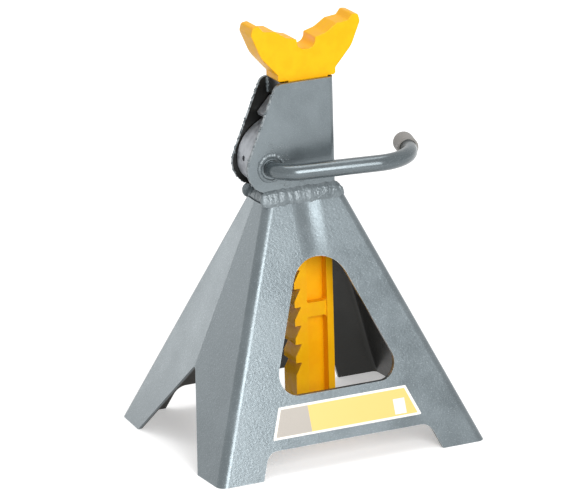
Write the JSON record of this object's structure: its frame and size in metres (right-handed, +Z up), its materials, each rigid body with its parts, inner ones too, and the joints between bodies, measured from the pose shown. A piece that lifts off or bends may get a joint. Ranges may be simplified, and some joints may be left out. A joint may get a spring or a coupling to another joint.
{
  "type": "ratchet jack stand",
  "caption": "Ratchet jack stand: pressed steel pyramid base, welded column, toothed bar with a horned saddle, and a pawl worked by a bent handle.",
  "frame": {"origin": "centre of the footprint on the ground", "axes": "+X to the right along the front edge, +Y from the front towards the back, +Z up along the ratchet bar"},
  "size_m": [0.285, 0.238, 0.4106],
  "materials": {
    "grey_enamel": "semi-gloss grey enamel on pressed steel",
    "painted_weld": "weld bead under the same enamel",
    "yellow_paint": "semi-gloss yellow paint on ductile iron",
    "cast_iron": "as cast, oiled",
    "spring_steel": "dark rolled steel",
    "grey_vinyl": "soft matt vinyl",
    "label": "printed film, left without text"
  },
  "bodies": {
    "stand": {"base_front_panel": "grey_enamel", "base_rear_panel": "grey_enamel", "left_seam_weld": "painted_weld", "right_seam_weld": "painted_weld", "column_channel": "grey_enamel", "front_mouth_weld": "painted_weld", "rear_mouth_weld": "painted_weld", "right_mouth_weld": "painted_weld", "left_mouth_weld": "painted_weld", "upper_wall_plate": "grey_enamel", "upper_plate_front_weld": "painted_weld", "upper_plate_rear_weld": "painted_weld", "lower_wall_plate": "grey_enamel", "lower_plate_front_weld": "painted_weld", "lower_plate_rear_weld": "painted_weld", "label_sticker": "label"},
    "ratchet": {"ratchet_bar": "yellow_paint", "bar_stop_pin": "spring_steel"},
    "lever": {"pawl": "cast_iron", "pawl_roll_pin": "spring_steel", "handle_rod": "grey_enamel", "handle_end_cap": "grey_vinyl"}
  },
  "joints": [
    {"name": "bar_slide", "type": "slide", "parent": "stand", "child": "ratchet", "axis": [0, 0, 1], "range_m": [0, 0.2244]},
    {"name": "pawl_pivot", "type": "hinge", "parent": "stand", "child": "lever", "pos_m": [-0.033, 0, 0.2727], "axis": [0, -1, 0], "range_deg": [0, 40]}
  ]
}
